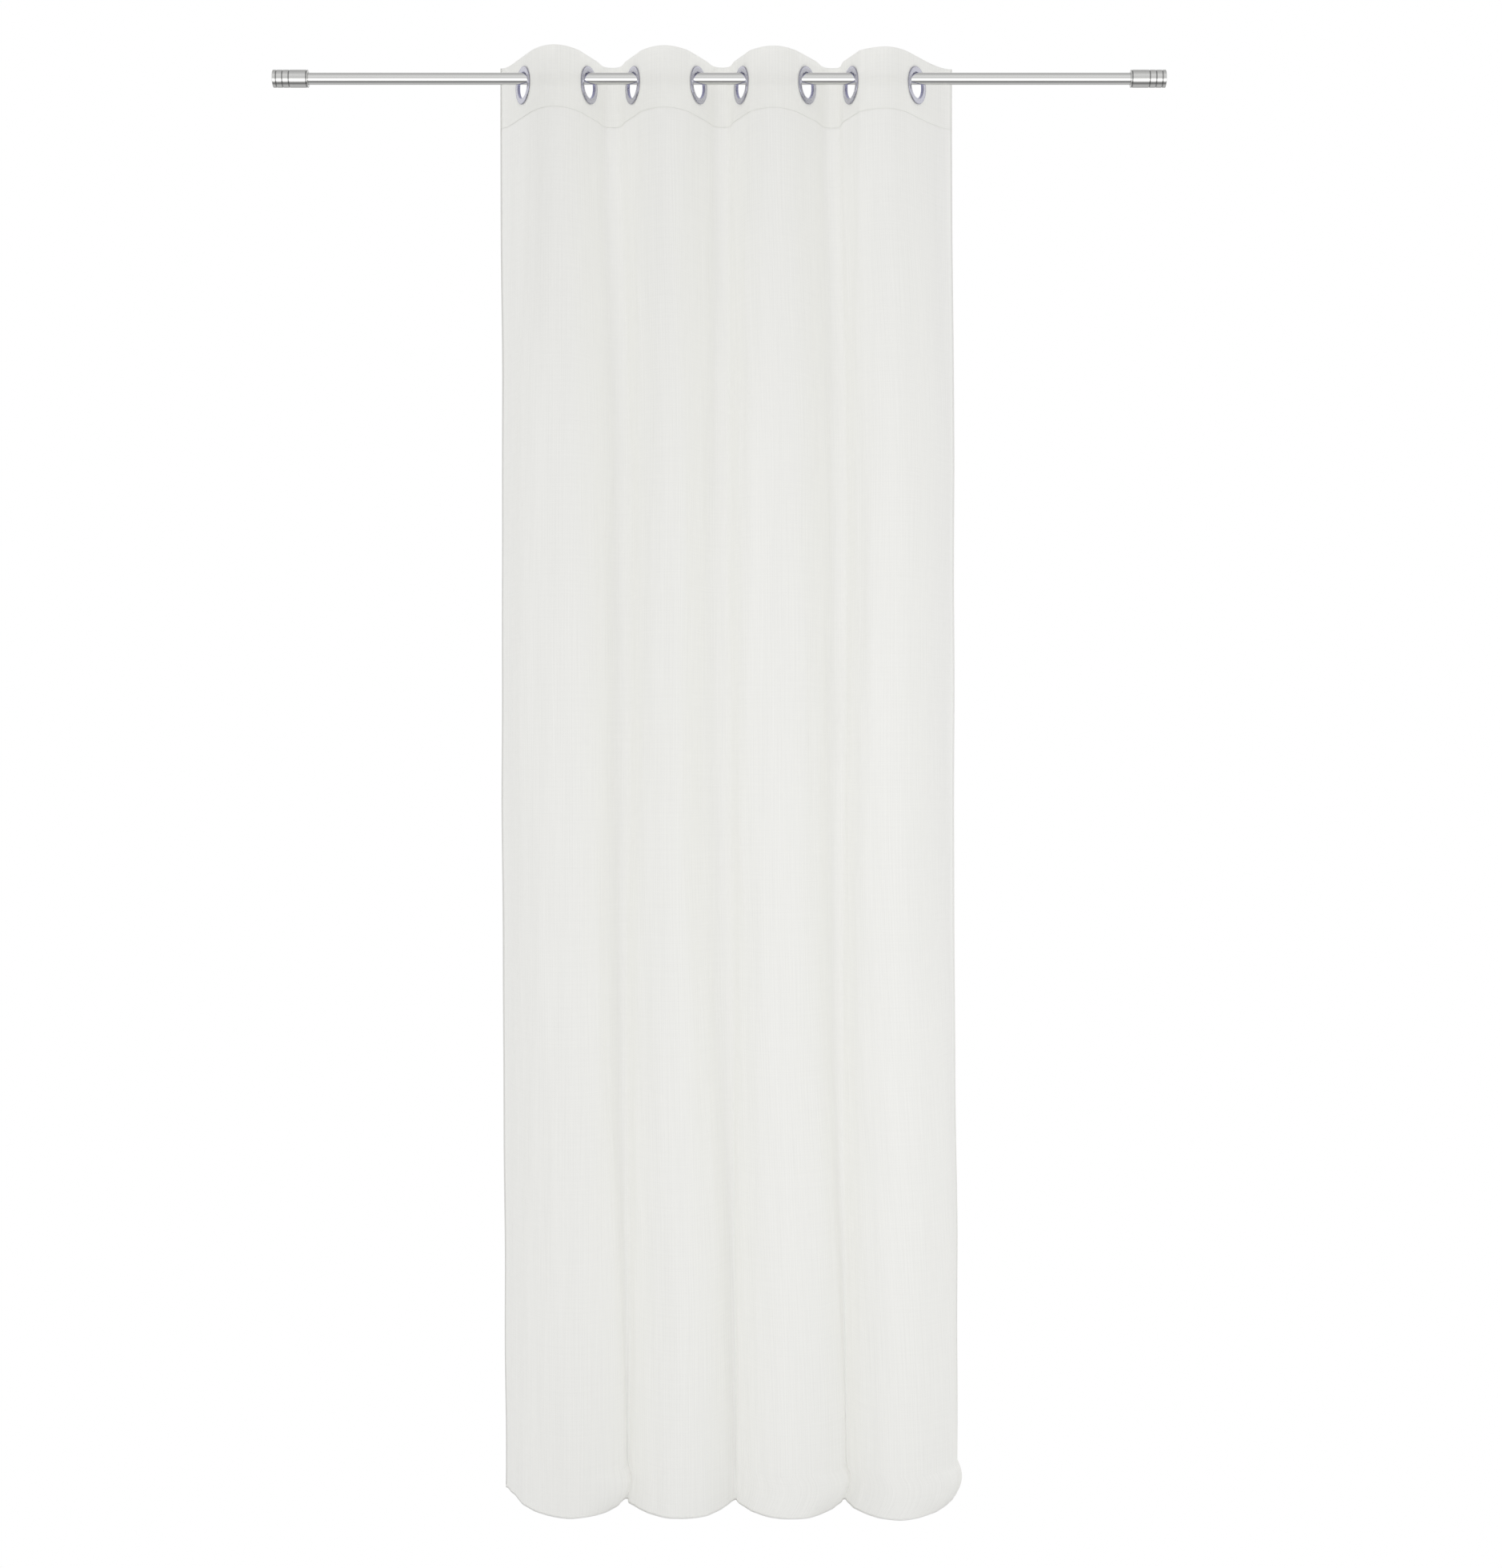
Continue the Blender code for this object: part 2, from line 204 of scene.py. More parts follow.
def level_weights(drop):
    """Shares of the heading's, the body's and the hem's shape at this distance below the top."""
    body = smooth_step((drop - HEADING_DEPTH) / (BODY_FORMED_DROP - HEADING_DEPTH))
    hem = smooth_step((drop - HEM_FORMING_DROP) / (CLOTH_DROP - HEM_FORMING_DROP))
    return (1 - body) * (1 - hem), body * (1 - hem), hem


def mixed(values, weights):
    """A mean of the heading's, the body's and the hem's value."""
    return sum(value * weight for value, weight in zip(values, weights))


def swing_share(drop):
    """How far the folds' right sides swing out: all the way just above the hem, then back in."""
    if drop < SWING_START_DROP:
        return 0
    if drop < SWING_PEAK_DROP:
        below_peak = (SWING_PEAK_DROP - drop) / (SWING_PEAK_DROP - SWING_START_DROP)
        return 1 - below_peak**2
    return 1 - (1 + SWING_BACK) * ((drop - SWING_PEAK_DROP) / (CLOTH_DROP - SWING_PEAK_DROP)) ** 2


def sway(place, drop):
    """Sideways wander of a fold, none at the heading or the hem, different for each fold."""
    share = np.clip((drop - HEADING_DEPTH) / (CLOTH_DROP - HEADING_DEPTH), 0, 1)
    wave = math.sin(2 * math.pi * drop / SWAY_LENGTH + SWAY_STEP * place)
    return SWAY * math.sin(math.pi * share) * wave


def crest_points(drop, back_shift):
    """Crests at this level, the back ones back_shift further from the room than the table says."""
    weights = level_weights(drop)
    points = []
    for place, crest in enumerate(CRESTS):
        x = mixed(crest[1:4], weights) * MM + crest.swing * MM * swing_share(drop)
        y = mixed(crest[4:7], weights) * MM
        if 0 < place < len(SLOPES):
            x += sway(place, drop)
            if place % 2 == 0:
                y += back_shift
        points.append(np.array([x, y]))
    return points


def slope_lines(drop):
    """Middle and direction of each slope at this level."""
    weights = level_weights(drop)
    swung = swing_share(drop)
    lines = []
    for index, slope in enumerate(SLOPES):
        x = mixed(slope[1:4], weights) * MM
        x += sway(index + 0.5, drop) + slope.swing * MM * swung
        y = mixed((HEAD_LEVEL.slope_y, MID_LEVEL.slope_y, slope.y_hem), weights) * MM
        turn = math.radians(mixed(slope[5:8], weights) + slope.curl * swung)
        forwards = -1 if index % 2 == 0 else 1
        direction = np.array([math.cos(turn), forwards * math.sin(turn)])
        lines.append((np.array([x, y]), direction))
    return lines


def bezier(start, start_handle, end_handle, end, segments):
    """Points of a cubic curve, its two ends included."""
    t = np.linspace(0, 1, segments + 1)[:, None]
    back = 1 - t
    return (
        back**3 * start
        + 3 * back**2 * t * start_handle
        + 3 * back * t**2 * end_handle
        + t**3 * end
    )


def half_fold(place, crest, flat, direction, side, level, segments):
    """The curve from a crest to the straight middle of the slope to its right (1) or left (-1)."""
    crest_share, slope_share = level.back_crest, level.back_slope
    if place % 2 == 1:
        crest_share, slope_share = level.front_crest, level.front_slope
    if place in (0, len(SLOPES)):
        crest_share *= EDGE_CREST_SHARE
    reach = np.linalg.norm(flat - crest)
    crest_handle = crest + np.array([side * reach * crest_share, 0])
    flat_handle = flat - side * direction * reach * slope_share
    return bezier(crest, crest_handle, flat_handle, flat, segments)


def fold_curve(drop, back_shift, segments):
    """The cloth's line seen from above at this level, from left to right, as rows of x and y."""
    weights = level_weights(drop)
    level = Level(*(mixed(values, weights) for values in zip(HEAD_LEVEL, MID_LEVEL, HEM_LEVEL)))
    crests = crest_points(drop, back_shift)
    curve = [crests[0][None, :]]
    for index, (middle, direction) in enumerate(slope_lines(drop)):
        start = middle - direction * level.half_flat * MM
        end = middle + direction * level.half_flat * MM
        first = half_fold(index, crests[index], start, direction, 1, level, segments)
        second = half_fold(index + 1, crests[index + 1], end, direction, -1, level, segments)
        flat = np.linspace(start, end, FLAT_SEGMENTS + 1)
        curve += [first[1:], flat[1:], second[::-1][1:]]
    return np.concatenate(curve)


def curve_lengths(curve):
    """Distance along the curve at each of its points."""
    return np.concatenate([[0], np.cumsum(np.linalg.norm(np.diff(curve, axis=0), axis=1))])


def back_shift_for(drop):
    """Shift of the back crests that gives the cloth its full width at this level."""
    low, high = -BACK_SHIFT_LIMIT, BACK_SHIFT_LIMIT
    for _ in range(BACK_SHIFT_HALVINGS):
        middle = (low + high) / 2
        if curve_lengths(fold_curve(drop, middle, ROUGH_SEGMENTS))[-1] < CLOTH_WIDTH:
            low = middle
        else:
            high = middle
    return middle


# ---- Creases and unevenness of the cloth ----

# Soft upright ridges (height above 0) and troughs (below 0): where they start and end on the
# cloth, how wide they are on each side and how far they stand out.
Crease = namedtuple("Crease", "u_top u_end drop_top drop_end half_width height")
CREASES = (
    Crease(181, 176, 170, 660, 3.0, 0.45),
    Crease(178, 186, 1640, 2080, 3.0, 0.5),
    Crease(520, 512, 520, 980, 3.5, 0.4),
    Crease(523, 530, 1720, 2260, 3.5, 0.5),
    Crease(872, 866, 420, 700, 3.5, 0.45),
    Crease(868, 880, 1700, 2250, 3.0, 0.55),
    Crease(1222, 1216, 300, 840, 3.5, 0.4),
    Crease(1220, 1228, 1700, 2230, 3.5, 0.5),
    Crease(120, 104, 150, 1250, 16, 1.6),
    Crease(238, 252, 130, 900, 14, -1.5),
    Crease(272, 262, 700, 1900, 12, 1.4),
    Crease(300, 318, 1300, 2420, 11, -1.3),
    Crease(455, 470, 140, 1100, 15, 1.4),
    Crease(580, 566, 200, 1500, 13, -1.5),
    Crease(612, 630, 1100, 2400, 12, 1.4),
    Crease(690, 684, 250, 1300, 10, 1.0),
    Crease(802, 818, 160, 1200, 14, 1.5),
    Crease(925, 940, 500, 1700, 13, -1.4),
    Crease(975, 962, 1400, 2430, 12, 1.3),
    Crease(1046, 1052, 200, 1300, 10, -1.0),
    Crease(1150, 1166, 150, 1250, 15, 1.5),
    Crease(1275, 1290, 600, 2000, 14, -1.6),
    Crease(1330, 1318, 1200, 2430, 12, 1.3),
    Crease(60, 48, 900, 2100, 14, 1.2),
)
# Faint level lines where the panel was folded when packed.
PressLine = namedtuple("PressLine", "drop u_start u_end slant height")
PRESS_LINES = (
    PressLine(1012, 380, 1040, 14, 0.22),
    PressLine(1068, 1040, 1390, -8, 0.26),
    PressLine(1178, 20, 330, 22, 0.24),
    PressLine(1672, 370, 1390, 10, 0.30),
    PressLine(1716, 700, 1390, 12, -0.26),
    PressLine(2230, 350, 1060, 4, 0.24),
)
PRESS_HALF_WIDTH = 5
CREASE_END_FADE = 0.18

# Slow ripples over the whole cloth: wave lengths across and down, start of the wave, height.
Ripple = namedtuple("Ripple", "across down start height")
RIPPLES = (
    Ripple(61, 900, 0.4, 0.55),
    Ripple(37, -640, 1.9, 0.30),
    Ripple(97, 1500, 3.1, 0.70),
    Ripple(23, 410, 5.0, 0.14),
    Ripple(151, -310, 2.2, 0.45),
    Ripple(260, 480, 4.1, 0.60),
)


def crease_height(u, drop):
    """How far the cloth stands off its folds at each point, in metres. u and drop are arrays."""
    u_mm, drop_mm = u / MM, drop / MM
    height = np.zeros_like(u_mm)
    for ripple in RIPPLES:
        phase = 2 * np.pi * (u_mm / ripple.across + drop_mm / ripple.down) + ripple.start
        height += ripple.height * np.sin(phase)
    for crease in CREASES:
        share = (drop_mm - crease.drop_top) / (crease.drop_end - crease.drop_top)
        fade = smooth_step(share / CREASE_END_FADE) * smooth_step((1 - share) / CREASE_END_FADE)
        middle = crease.u_top + (crease.u_end - crease.u_top) * np.clip(share, 0, 1)
        height += crease.height * fade * np.exp(-(((u_mm - middle) / crease.half_width) ** 2))
    for line in PRESS_LINES:
        share = (u_mm - line.u_start) / (line.u_end - line.u_start)
        fade = smooth_step(share / CREASE_END_FADE) * smooth_step((1 - share) / CREASE_END_FADE)
        away = (drop_mm - line.drop - line.slant * share) / PRESS_HALF_WIDTH
        height += line.height * fade * np.exp(-(away**2))
    below_heading = smooth_step((drop - HEADING_DEPTH) / CREASES_FORM_OVER)
    return height * below_heading * MM


# ---- Meshes ----


def add_object(name, vertices, faces, smooth=True):
    mesh = bpy.data.meshes.new(name)
    mesh.from_pydata([tuple(v) for v in vertices], [], faces)
    mesh.validate()
    if smooth:
        mesh.shade_smooth()
    obj = bpy.data.objects.new(name, mesh)
    bpy.context.scene.collection.objects.link(obj)
    return obj


def dress(obj, material, slot, *nodes):
    """Gives a piece its finish, lets it ride on the part and hides the solids it stands for."""
    obj.data.materials.clear()
    obj.data.materials.append(material)
    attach(obj, "root")
    if nodes:
        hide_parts(*nodes)
    return obj


class Folds:
    """Places on the hung cloth for any distance along its width and any drop."""

    def __init__(self, u):
        self.u = u
        self.lifts = [crest.lift * MM for crest in CRESTS]

    def row(self, drop, offset=0.0):
        """Points of the cloth at this drop, this far off its middle towards its face."""
        curve = fold_curve(drop, back_shift_for(drop), FINE_SEGMENTS)
        lengths = curve_lengths(curve)
        lengths *= CLOTH_WIDTH / lengths[-1]
        x, y = (np.interp(self.u, lengths, curve[:, axis]) for axis in (0, 1))
        tangent = np.stack([np.gradient(x, self.u), np.gradient(y, self.u)], axis=1)
        tangent /= np.linalg.norm(tangent, axis=1)[:, None]
        facing = np.stack([tangent[:, 1], -tangent[:, 0]], axis=1)
        rising = smooth_step((drop - LIFT_START_DROP) / (CLOTH_DROP - LIFT_START_DROP))
        lift = np.interp(self.u, lengths[CREST_COLUMNS], self.lifts) * rising
        away = offset + crease_height(self.u, np.full_like(self.u, drop))
        points = np.stack([x + facing[:, 0] * away, y + facing[:, 1] * away], axis=1)
        return np.column_stack([points, CLOTH_TOP_Z - drop + lift])


def eyelet_places():
    """Number, place and turn of each eyelet, and its distance along the cloth."""
    curve = fold_curve(0, back_shift_for(0), FINE_SEGMENTS)
    lengths = curve_lengths(curve)
    lengths *= CLOTH_WIDTH / lengths[-1]
    places = []
    for index, (middle, direction) in enumerate(slope_lines(0)):
        flat_start = CREST_COLUMNS[index] + FINE_SEGMENTS
        u = (lengths[flat_start] + lengths[flat_start + FLAT_SEGMENTS]) / 2
        turn = math.atan2(direction[1], direction[0])
        places.append((index + 1, Vector((middle[0], middle[1], EYELET_Z)), turn, u))
    return places


def cloth_drops():
    """Drops of the face's rows: fine over the heading and the hem, wider between."""
    heading = [0, FOLD_DROP, *np.arange(HEADING_ROW, HEADING_DEPTH, HEADING_ROW)]
    body_rows = round((SWING_START_DROP - HEADING_DEPTH) / BODY_ROW)
    body = np.linspace(HEADING_DEPTH, SWING_START_DROP, body_rows, endpoint=False)
    hem_rows = round((CLOTH_DROP - SWING_START_DROP) / HEM_ROW)
    return np.concatenate([heading, body, np.linspace(SWING_START_DROP, CLOTH_DROP, hem_rows + 1)])


def layer_offset(drop):
    """The face stands this far in front of the turned-over layer, and joins it below the seam."""
    return LAYER_OFFSET * (1 - smooth_step((drop - TURNOVER) / LAYERS_MEET_OVER))


def cloth_rows():
    """(drop on the cloth, offset, distance from the cut edge) of each row, over the top edge."""
    rows = []
    back_drops = np.arange(TURNOVER, 0, -HEADING_ROW)
    for drop in (*back_drops, FOLD_DROP):
        rows.append((drop, -LAYER_OFFSET, TURNOVER - drop))
    rows.append((0.0, 0.0, TURNOVER))
    for drop in cloth_drops()[1:]:
        rows.append((drop, layer_offset(drop), TURNOVER + drop))
    return rows


def hole_face(u, drop, holes):
    """Whether a face with its middle here is left out for an eyelet's hole."""
    return any(math.hypot(u - hole_u, drop - EYELET_DROP) < HOLE_FACE_RADIUS for hole_u in holes)


def cloth_faces(u_grid, drop_grid, holes):
    """All the faces of the cloth's grid, and the set of those that no hole takes out."""
    columns = len(u_grid)
    all_faces = []
    kept_faces = set()
    for row in range(len(drop_grid) - 1):
        middle_drop = (drop_grid[row] + drop_grid[row + 1]) / 2
        near_hole = abs(middle_drop - EYELET_DROP) < HOLE_FACE_RADIUS
        for column in range(COLUMNS):
            start = row * columns + column
            face = (start, start + columns, start + columns + 1, start + 1)
            all_faces.append(face)
            middle_u = (u_grid[column] + u_grid[column + 1]) / 2
            if not (near_hole and hole_face(middle_u, middle_drop, holes)):
                kept_faces.add(face)
    return all_faces, kept_faces


def round_the_holes(points, kept_faces, all_faces, places, u_grid, drop_grid):
    """Moves the points at the edge of each hole onto a circle round its eyelet's axis."""
    kept = {index for face in kept_faces for index in face}
    cut = {index for face in all_faces if face not in kept_faces for index in face}
    for index in kept & cut:
        row, column = divmod(index, len(u_grid))
        u, drop = u_grid[column], drop_grid[row]
        _, place, turn, hole_u = min(places, key=lambda found: abs(found[3] - u))
        across, down = u - hole_u, drop - EYELET_DROP
        reach = HOLE_RADIUS / math.hypot(across, down)
        shift = across * (reach - 1)
        points[index] += (math.cos(turn) * shift, math.sin(turn) * shift, -down * (reach - 1))


def set_uv(piece, layer_name, places):
    """Gives each point of a piece its place on the flat cloth."""
    layer = piece.data.uv_layers.new(name=layer_name)
    corners = np.zeros(len(piece.data.loops), dtype=np.int32)
    piece.data.loops.foreach_get("vertex_index", corners)
    layer.data.foreach_set("uv", places[corners].ravel())


def curtain_cloth(material):
    """The voile: one layer, turned over behind the heading, with eight round holes."""
    places = eyelet_places()
    holes = [place[3] for place in places]
    u_grid = np.linspace(0, CLOTH_WIDTH, COLUMNS + 1)
    folds = Folds(u_grid)
    rows = cloth_rows()
    points = np.concatenate([folds.row(drop, offset) for drop, offset, _ in rows])
    drop_grid = [drop for drop, _, _ in rows]
    all_faces, kept_faces = cloth_faces(u_grid, drop_grid, holes)
    round_the_holes(points, kept_faces, all_faces, places, u_grid, drop_grid)
    faces = [face for face in all_faces if face in kept_faces]
    used = sorted({index for face in faces for index in face})
    renumbered = {old: new for new, old in enumerate(used)}
    faces = [tuple(renumbered[index] for index in face) for face in faces]
    cloth = add_object("voile_panel", points[used], faces)
    flat_places = []
    for index in used:
        row, column = divmod(index, len(u_grid))
        from_cut_edge = rows[row][2]
        flat_places.append((u_grid[column], from_cut_edge))
    set_uv(cloth, "cloth", np.array(flat_places))
    return dress(cloth, material, "voile", "curtain_panel")


def tube_along(points, directions, half_width, half_height, sides):
    """Points and faces of a closed oval tube along a line. directions are its wide way."""
    count = len(points)
    tangents = np.gradient(points, axis=0)
    tangents /= np.linalg.norm(tangents, axis=1)[:, None]
    wide = directions - (directions * tangents).sum(axis=1)[:, None] * tangents
    wide /= np.linalg.norm(wide, axis=1)[:, None]
    thin = np.cross(tangents, wide)
    vertices = []
    for side in range(sides):
        angle = 2 * math.pi * side / sides
        away = wide * half_width * math.cos(angle) + thin * half_height * math.sin(angle)
        vertices.append(points + away)
    vertices = np.stack(vertices, axis=1).reshape(-1, 3)
    faces = []
    for ring in range(count - 1):
        for side in range(sides):
            next_side = (side + 1) % sides
            a, b = ring * sides, (ring + 1) * sides
            faces.append((a + side, a + next_side, b + next_side, b + side))
    faces.append(tuple(reversed(range(sides))))
    faces.append(tuple((count - 1) * sides + side for side in range(sides)))
    return vertices, faces


def joined(parts):
    """One list of points and one of faces from several."""
    vertices, faces, start = [], [], 0
    for part_vertices, part_faces in parts:
        vertices.append(part_vertices)
        faces += [tuple(start + index for index in face) for face in part_faces]
        start += len(part_vertices)
    return np.concatenate(vertices), faces


def upwards(count):
    """The upward direction, once for each of this many points."""
    return np.tile([0.0, 0.0, 1.0], (count, 1))


def rolled_hems(material):
    """The narrow rolled hem round the two sides and the bottom of the cloth."""
    inset = HEM_HALF_WIDTH
    further_in = 4 * inset
    size = (HEM_HALF_WIDTH, HEM_HALF_HEIGHT, HEM_SIDES)
    u_grid = np.linspace(inset, CLOTH_WIDTH - inset, COLUMNS + 1)
    bottom = Folds(u_grid).row(CLOTH_DROP - inset)
    parts = [tube_along(bottom, upwards(len(bottom)), *size)]
    near_edges = np.array([inset, further_in, CLOTH_WIDTH - further_in, CLOTH_WIDTH - inset])
    sides = Folds(near_edges)
    drops = [drop for drop in cloth_drops() if drop < CLOTH_DROP - inset]
    rows = np.stack([sides.row(drop) for drop in drops])
    for edge, inside in ((0, 1), (3, 2)):
        inwards = rows[:, inside] - rows[:, edge]
        parts.append(tube_along(rows[:, edge], inwards, *size))
    hem = add_object("voile_rolled_hem", *joined(parts))
    return dress(hem, material, "voile")


def stitch_heights():
    """How far each ring of a stitch stands off the middle of the cloth: low at its two ends."""
    arch = np.sin(np.linspace(0, math.pi, STITCH_RINGS))[:, None] ** 0.5
    return LAYER_OFFSET + STITCH_HALF_WIDTH * (STITCH_END_LIFT + STITCH_ARCH * arch)


def heading_stitches(material):
    """The row of stitches that holds the turned-over heading, on both sides of the cloth."""
    parts = []
    heights = stitch_heights()
    for stitch in range(round(CLOTH_WIDTH / STITCH_PITCH) - 1):
        start = (stitch + STITCH_START_SHARE) * STITCH_PITCH
        line = np.linspace(start, start + STITCH_LENGTH, STITCH_RINGS)
        row = Folds(line).row(TURNOVER - STITCHES_ABOVE_EDGE)
        step = row[-1] - row[0]
        facing = np.array([step[1], -step[0], 0]) / np.linalg.norm(step[:2])
        for side in (1, -1):
            points = row + facing * side * heights
            size = (STITCH_HALF_WIDTH, STITCH_HALF_WIDTH, STITCH_SIDES)
            parts.append(tube_along(points, upwards(STITCH_RINGS), *size))
    stitches = add_object("heading_stitches", *joined(parts))
    return dress(stitches, material, "voile")


def turned(name, profile, steps, closed):
    """A profile of (radius, height) points, down its outer side, turned about Z."""
    profile = np.array(profile)
    count = len(profile)
    vertices, faces = [], []
    for step in range(steps):
        angle = 2 * math.pi * step / steps
        radius = profile[:, 0]
        ring = [radius * math.cos(angle), radius * math.sin(angle), profile[:, 1]]
        vertices.append(np.stack(ring, axis=1))
    last = count if closed else count - 1
    for step in range(steps):
        a, b = step * count, (step + 1) % steps * count
        for point in range(last):
            after = (point + 1) % count
            faces.append((a + point, a + after, b + after, b + point))
    piece = add_object(name, np.concatenate(vertices), faces)
    if not closed:
        weld(piece)
    return piece


def weld(piece):
    """Joins the points that an open profile leaves together on its axis."""
    mesh = bmesh.new()
    mesh.from_mesh(piece.data)
    bmesh.ops.remove_doubles(mesh, verts=mesh.verts, dist=WELD_DISTANCE)
    mesh.to_mesh(piece.data)
    mesh.free()


def arc(center, radius, start, end, count, stretch=1.0):
    """Points of a round stretch of a profile. Angles are in degrees from +radius to +height."""
    angles = np.radians(np.linspace(start, end, count))
    return [
        (center[0] + radius * math.cos(a), center[1] + radius * stretch * math.sin(a))
        for a in angles
    ]


RIM_STRETCH = 1.25


def face_ring_profile():
    """The front half of an eyelet: a domed flange with a rolled rim, and the barrel."""
    inner, outer, dome = EYELET_HOLE_RADIUS, EYELET_RADIUS, EYELET_HALF_THICKNESS
    slot = EYELET_SLOT_HALF
    rim = 0.45 * (dome - slot)
    roll = 0.75 * dome
    barrel_end = -dome * 0.45
    points = [(inner, barrel_end), (inner, dome - roll)]
    points += arc((inner + roll, dome - roll), roll, 180, 90, RIM_POINTS)[1:]
    crown_start = inner + roll
    crown_width = outer - 2.2 * rim - crown_start
    crown_fall = 0.1 * dome
    for share in (0.35, 0.7):
        points.append((crown_start + crown_width * share, dome - crown_fall * share * share))
    points += arc((outer - rim, slot + rim), rim, 75, -80, RIM_POINTS, stretch=RIM_STRETCH)
    points += [(EYELET_BARREL_RADIUS, slot), (EYELET_BARREL_RADIUS - EYELET_BARREL_TAPER, barrel_end)]
    return list(reversed(points))


def back_ring_profile():
    """The back half: a flatter washer pressed over the barrel's end."""
    inner, outer, dome = EYELET_HOLE_RADIUS, EYELET_RADIUS, EYELET_HALF_THICKNESS
    slot = EYELET_SLOT_HALF
    rim = 0.42 * (dome - slot)
    lip = 0.5 * dome
    seat = -dome * 0.55
    washer_start = outer - 6 * MM
    flat_start = outer - 3 * MM
    flat_end = inner + 1.6 * lip + 1.2 * MM
    points = [(washer_start, -slot)]
    points += arc((outer - rim, -slot - rim), rim, 80, -75, RIM_POINTS, stretch=RIM_STRETCH)
    points += [(flat_start, -dome * 0.97), (flat_end, -dome)]
    points += arc((inner + lip, -dome + lip), lip, -90, -180, LIP_POINTS)
    points += [(inner, seat), (EYELET_BARREL_RADIUS, seat)]
    return points


def eyelet_rings(material):
    for number, place, turn, _ in eyelet_places():
        for half, profile in (("face", face_ring_profile()), ("back", back_ring_profile())):
            ring = turned(f"eyelet_{number}_{half}", profile, EYELET_STEPS, closed=True)
            ring.rotation_euler = (math.pi / 2, 0, turn)
            ring.location = place
            bpy.context.view_layer.update()
            dress(ring, material, "eyelet_metal", f"eyelet_{number}")


ROD_SHARP_ANGLE = math.radians(40)
CAP_SHARP_ANGLE = math.radians(35)


def rod_tube(material):
    """The tube, with broken edges. It throws no shade on the sheer heading behind it."""
    half = (ROD_HIGH.x - ROD_LOW.x) / 2
    inner = ROD_RADIUS - ROD_WALL
    edge = ROD_EDGE
    profile = [
        (inner, half - edge),
        (inner + edge, half),
        (ROD_RADIUS - edge, half),
        (ROD_RADIUS, half - edge),
        (ROD_RADIUS, -half + edge),
        (ROD_RADIUS - edge, -half),
        (inner + edge, -half),
        (inner, -half + edge),
    ]
    rod = turned("rod_tube", profile, ROD_STEPS, closed=True)
    rod.rotation_euler = (0, math.pi / 2, 0)
    rod.data.set_sharp_from_angle(angle=ROD_SHARP_ANGLE)
    rod.visible_shadow = False
    rod.visible_diffuse = False
    rod.visible_transmission = False
    bpy.context.view_layer.update()
    return dress(rod, material, "rod_steel", "curtain_rod")


def cap_profile():
    """A turned cap from its closed end to its socket, with four fine rounded grooves."""
    edge, edge_radius = CAP_EDGE, CAP_RADIUS - CAP_EDGE
    points = [(CAP_RADIUS * share, CAP_LENGTH) for share in (0, 0.3, 0.6, 0.85)]
    points += arc((edge_radius, CAP_LENGTH - edge), edge, 90, 0, EDGE_POINTS)
    for from_end in GROOVES_FROM_END:
        height = CAP_LENGTH - from_end
        for share in np.linspace(-1, 1, GROOVE_POINTS):
            depth = GROOVE_DEPTH * (1 - share**2) ** GROOVE_ROUNDING
            points.append((CAP_RADIUS - depth, height - share * GROOVE_HALF_WIDTH))
    points += arc((edge_radius, edge), edge, 0, -90, EDGE_POINTS)
    socket = ROD_RADIUS + CAP_SOCKET_GAP
    points += [(socket + CAP_SOCKET_CHAMFER, 0), (socket, CAP_SOCKET_CHAMFER)]
    points += [(socket, CAP_SOCKET_DEPTH), (0, CAP_SOCKET_DEPTH)]
    return points


def rod_caps(material):
    for name, node, side in (("cap_left", "rod_cap_left", -1), ("cap_right", "rod_cap_right", 1)):
        cap = turned(name, cap_profile(), ROD_STEPS, closed=False)
        cap.data.set_sharp_from_angle(angle=CAP_SHARP_ANGLE)
        cap.location = (side * CAP_START, 0, 0)
        cap.rotation_euler = (0, side * math.pi / 2, 0)
        bpy.context.view_layer.update()
        dress(cap, material, "cap_steel", node)


# ---- Materials ----

# Most of a noise's values lie between these two.
NOISE_LOW = 0.3
NOISE_HIGH = 0.7

# The colour sockets of a Mix node, whose inputs and outputs share their names.
MIX_FIRST = 6
MIX_SECOND = 7
MIX_RESULT = 2

WHITE = (1, 1, 1, 1)


